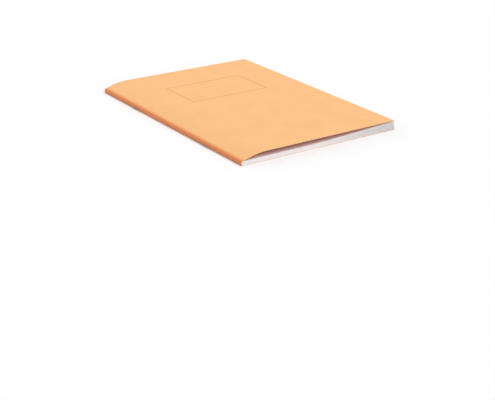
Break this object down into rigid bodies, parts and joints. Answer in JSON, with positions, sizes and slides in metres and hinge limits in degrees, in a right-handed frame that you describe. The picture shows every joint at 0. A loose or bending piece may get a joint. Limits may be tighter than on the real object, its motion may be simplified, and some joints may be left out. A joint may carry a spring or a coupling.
{
  "type": "stapled exercise book",
  "caption": "Stapled exercise book lying shut: orange card cover with a blank label box, folded paper sheets and wire staples. Cover and leaves turn about the spine fold.",
  "frame": {"origin": "centre of the bottom of the bounding box, on the back cover's outer face", "axes": "+X from the spine to the fore-edge, +Y from tail to head, +Z out of the front cover"},
  "size_m": [0.1504, 0.21, 0.0078],
  "materials": {
    "cover_card": "matt manila card",
    "page_paper": "uncoated off-white paper with feint ruling",
    "staple_wire": "bright round wire"
  },
  "bodies": {
    "base": {"cover_back": "cover_card", "fold_01": "page_paper", "fold_02": "page_paper", "fold_03": "page_paper", "fold_04": "page_paper", "fold_05": "page_paper", "fold_06": "page_paper", "fold_07": "page_paper", "fold_08": "page_paper", "fold_09": "page_paper", "fold_10": "page_paper", "fold_11": "page_paper", "fold_12": "page_paper", "fold_13": "page_paper", "fold_14": "page_paper", "fold_15": "page_paper", "fold_16": "page_paper", "staple_tail": "staple_wire", "staple_head": "staple_wire"},
    "front": {"cover_front": "cover_card"},
    "leaf_01": {"leaf_01": "page_paper"},
    "leaf_02": {"leaf_02": "page_paper"},
    "leaf_03": {"leaf_03": "page_paper"},
    "leaf_04": {"leaf_04": "page_paper"},
    "leaf_05": {"leaf_05": "page_paper"},
    "leaf_06": {"leaf_06": "page_paper"},
    "leaf_07": {"leaf_07": "page_paper"},
    "leaf_08": {"leaf_08": "page_paper"},
    "leaf_09": {"leaf_09": "page_paper"},
    "leaf_10": {"leaf_10": "page_paper"},
    "leaf_11": {"leaf_11": "page_paper"},
    "leaf_12": {"leaf_12": "page_paper"},
    "leaf_13": {"leaf_13": "page_paper"},
    "leaf_14": {"leaf_14": "page_paper"},
    "leaf_15": {"leaf_15": "page_paper"},
    "leaf_16": {"leaf_16": "page_paper"},
    "leaf_17": {"leaf_17": "page_paper"},
    "leaf_18": {"leaf_18": "page_paper"},
    "leaf_19": {"leaf_19": "page_paper"},
    "leaf_20": {"leaf_20": "page_paper"},
    "leaf_21": {"leaf_21": "page_paper"},
    "leaf_22": {"leaf_22": "page_paper"},
    "leaf_23": {"leaf_23": "page_paper"},
    "leaf_24": {"leaf_24": "page_paper"},
    "leaf_25": {"leaf_25": "page_paper"},
    "leaf_26": {"leaf_26": "page_paper"},
    "leaf_27": {"leaf_27": "page_paper"},
    "leaf_28": {"leaf_28": "page_paper"},
    "leaf_29": {"leaf_29": "page_paper"},
    "leaf_30": {"leaf_30": "page_paper"},
    "leaf_31": {"leaf_31": "page_paper"},
    "leaf_32": {"leaf_32": "page_paper"}
  },
  "joints": [
    {"name": "cover_turn", "type": "hinge", "parent": "base", "child": "front", "pos_m": [-0.07283, 0, 0.00185], "axis": [0, -1, 0], "range_deg": [0, 160]},
    {"name": "leaf_01_turn", "type": "hinge", "parent": "base", "child": "leaf_01", "pos_m": [-0.07283, 0, 0.00185], "axis": [0, -1, 0], "range_deg": [0, 159.88]},
    {"name": "leaf_02_turn", "type": "hinge", "parent": "base", "child": "leaf_02", "pos_m": [-0.07283, 0, 0.00185], "axis": [0, -1, 0], "range_deg": [0, 159.75]},
    {"name": "leaf_03_turn", "type": "hinge", "parent": "base", "child": "leaf_03", "pos_m": [-0.07283, 0, 0.00185], "axis": [0, -1, 0], "range_deg": [0, 159.62]},
    {"name": "leaf_04_turn", "type": "hinge", "parent": "base", "child": "leaf_04", "pos_m": [-0.07283, 0, 0.00185], "axis": [0, -1, 0], "range_deg": [0, 159.49]},
    {"name": "leaf_05_turn", "type": "hinge", "parent": "base", "child": "leaf_05", "pos_m": [-0.07283, 0, 0.00185], "axis": [0, -1, 0], "range_deg": [0, 159.37]},
    {"name": "leaf_06_turn", "type": "hinge", "parent": "base", "child": "leaf_06", "pos_m": [-0.07283, 0, 0.00185], "axis": [0, -1, 0], "range_deg": [0, 159.24]},
    {"name": "leaf_07_turn", "type": "hinge", "parent": "base", "child": "leaf_07", "pos_m": [-0.07283, 0, 0.00185], "axis": [0, -1, 0], "range_deg": [0, 159.11]},
    {"name": "leaf_08_turn", "type": "hinge", "parent": "base", "child": "leaf_08", "pos_m": [-0.07283, 0, 0.00185], "axis": [0, -1, 0], "range_deg": [0, 158.98]},
    {"name": "leaf_09_turn", "type": "hinge", "parent": "base", "child": "leaf_09", "pos_m": [-0.07283, 0, 0.00185], "axis": [0, -1, 0], "range_deg": [0, 158.85]},
    {"name": "leaf_10_turn", "type": "hinge", "parent": "base", "child": "leaf_10", "pos_m": [-0.07283, 0, 0.00185], "axis": [0, -1, 0], "range_deg": [0, 158.72]},
    {"name": "leaf_11_turn", "type": "hinge", "parent": "base", "child": "leaf_11", "pos_m": [-0.07283, 0, 0.00185], "axis": [0, -1, 0], "range_deg": [0, 158.6]},
    {"name": "leaf_12_turn", "type": "hinge", "parent": "base", "child": "leaf_12", "pos_m": [-0.07283, 0, 0.00185], "axis": [0, -1, 0], "range_deg": [0, 158.47]},
    {"name": "leaf_13_turn", "type": "hinge", "parent": "base", "child": "leaf_13", "pos_m": [-0.07283, 0, 0.00185], "axis": [0, -1, 0], "range_deg": [0, 158.34]},
    {"name": "leaf_14_turn", "type": "hinge", "parent": "base", "child": "leaf_14", "pos_m": [-0.07283, 0, 0.00185], "axis": [0, -1, 0], "range_deg": [0, 158.21]},
    {"name": "leaf_15_turn", "type": "hinge", "parent": "base", "child": "leaf_15", "pos_m": [-0.07283, 0, 0.00185], "axis": [0, -1, 0], "range_deg": [0, 158.09]},
    {"name": "leaf_16_turn", "type": "hinge", "parent": "base", "child": "leaf_16", "pos_m": [-0.07283, 0, 0.00185], "axis": [0, -1, 0], "range_deg": [0, 157.96]},
    {"name": "leaf_17_turn", "type": "hinge", "parent": "base", "child": "leaf_17", "pos_m": [-0.07283, 0, 0.00185], "axis": [0, -1, 0], "range_deg": [0, 1.6]},
    {"name": "leaf_18_turn", "type": "hinge", "parent": "base", "child": "leaf_18", "pos_m": [-0.07283, 0, 0.00185], "axis": [0, -1, 0], "range_deg": [0, 1.5]},
    {"name": "leaf_19_turn", "type": "hinge", "parent": "base", "child": "leaf_19", "pos_m": [-0.07283, 0, 0.00185], "axis": [0, -1, 0], "range_deg": [0, 1.41]},
    {"name": "leaf_20_turn", "type": "hinge", "parent": "base", "child": "leaf_20", "pos_m": [-0.07283, 0, 0.00185], "axis": [0, -1, 0], "range_deg": [0, 1.3]},
    {"name": "leaf_21_turn", "type": "hinge", "parent": "base", "child": "leaf_21", "pos_m": [-0.07283, 0, 0.00185], "axis": [0, -1, 0], "range_deg": [0, 1.21]},
    {"name": "leaf_22_turn", "type": "hinge", "parent": "base", "child": "leaf_22", "pos_m": [-0.07283, 0, 0.00185], "axis": [0, -1, 0], "range_deg": [0, 1.1]},
    {"name": "leaf_23_turn", "type": "hinge", "parent": "base", "child": "leaf_23", "pos_m": [-0.07283, 0, 0.00185], "axis": [0, -1, 0], "range_deg": [0, 1]},
    {"name": "leaf_24_turn", "type": "hinge", "parent": "base", "child": "leaf_24", "pos_m": [-0.07283, 0, 0.00185], "axis": [0, -1, 0], "range_deg": [0, 0.905]},
    {"name": "leaf_25_turn", "type": "hinge", "parent": "base", "child": "leaf_25", "pos_m": [-0.07283, 0, 0.00185], "axis": [0, -1, 0], "range_deg": [0, 0.805]},
    {"name": "leaf_26_turn", "type": "hinge", "parent": "base", "child": "leaf_26", "pos_m": [-0.07283, 0, 0.00185], "axis": [0, -1, 0], "range_deg": [0, 0.705]},
    {"name": "leaf_27_turn", "type": "hinge", "parent": "base", "child": "leaf_27", "pos_m": [-0.07283, 0, 0.00185], "axis": [0, -1, 0], "range_deg": [0, 0.605]},
    {"name": "leaf_28_turn", "type": "hinge", "parent": "base", "child": "leaf_28", "pos_m": [-0.07283, 0, 0.00185], "axis": [0, -1, 0], "range_deg": [0, 0.505]},
    {"name": "leaf_29_turn", "type": "hinge", "parent": "base", "child": "leaf_29", "pos_m": [-0.07283, 0, 0.00185], "axis": [0, -1, 0], "range_deg": [0, 0.405]},
    {"name": "leaf_30_turn", "type": "hinge", "parent": "base", "child": "leaf_30", "pos_m": [-0.07283, 0, 0.00185], "axis": [0, -1, 0], "range_deg": [0, 0.305]},
    {"name": "leaf_31_turn", "type": "hinge", "parent": "base", "child": "leaf_31", "pos_m": [-0.07283, 0, 0.00185], "axis": [0, -1, 0], "range_deg": [0, 0.205]},
    {"name": "leaf_32_turn", "type": "hinge", "parent": "base", "child": "leaf_32", "pos_m": [-0.07283, 0, 0.00185], "axis": [0, -1, 0], "range_deg": [0, 0.105]}
  ],
  "couplings": [
    {"joint": "leaf_01_turn", "follows": "cover_turn", "ratio": 0.9992},
    {"joint": "leaf_02_turn", "follows": "cover_turn", "ratio": 0.9984},
    {"joint": "leaf_03_turn", "follows": "cover_turn", "ratio": 0.9976},
    {"joint": "leaf_04_turn", "follows": "cover_turn", "ratio": 0.9968},
    {"joint": "leaf_05_turn", "follows": "cover_turn", "ratio": 0.996},
    {"joint": "leaf_06_turn", "follows": "cover_turn", "ratio": 0.9952},
    {"joint": "leaf_07_turn", "follows": "cover_turn", "ratio": 0.9944},
    {"joint": "leaf_08_turn", "follows": "cover_turn", "ratio": 0.9936},
    {"joint": "leaf_09_turn", "follows": "cover_turn", "ratio": 0.9928},
    {"joint": "leaf_10_turn", "follows": "cover_turn", "ratio": 0.992},
    {"joint": "leaf_11_turn", "follows": "cover_turn", "ratio": 0.9912},
    {"joint": "leaf_12_turn", "follows": "cover_turn", "ratio": 0.9904},
    {"joint": "leaf_13_turn", "follows": "cover_turn", "ratio": 0.9896},
    {"joint": "leaf_14_turn", "follows": "cover_turn", "ratio": 0.9888},
    {"joint": "leaf_15_turn", "follows": "cover_turn", "ratio": 0.988},
    {"joint": "leaf_16_turn", "follows": "cover_turn", "ratio": 0.9872},
    {"joint": "leaf_17_turn", "follows": "cover_turn", "ratio": 0.01},
    {"joint": "leaf_18_turn", "follows": "cover_turn", "ratio": 0.009375},
    {"joint": "leaf_19_turn", "follows": "cover_turn", "ratio": 0.00875},
    {"joint": "leaf_20_turn", "follows": "cover_turn", "ratio": 0.008125},
    {"joint": "leaf_21_turn", "follows": "cover_turn", "ratio": 0.0075},
    {"joint": "leaf_22_turn", "follows": "cover_turn", "ratio": 0.006875},
    {"joint": "leaf_23_turn", "follows": "cover_turn", "ratio": 0.00625},
    {"joint": "leaf_24_turn", "follows": "cover_turn", "ratio": 0.005625},
    {"joint": "leaf_25_turn", "follows": "cover_turn", "ratio": 0.005},
    {"joint": "leaf_26_turn", "follows": "cover_turn", "ratio": 0.004375},
    {"joint": "leaf_27_turn", "follows": "cover_turn", "ratio": 0.00375},
    {"joint": "leaf_28_turn", "follows": "cover_turn", "ratio": 0.003125},
    {"joint": "leaf_29_turn", "follows": "cover_turn", "ratio": 0.0025},
    {"joint": "leaf_30_turn", "follows": "cover_turn", "ratio": 0.001875},
    {"joint": "leaf_31_turn", "follows": "cover_turn", "ratio": 0.00125},
    {"joint": "leaf_32_turn", "follows": "cover_turn", "ratio": 0.000625}
  ]
}
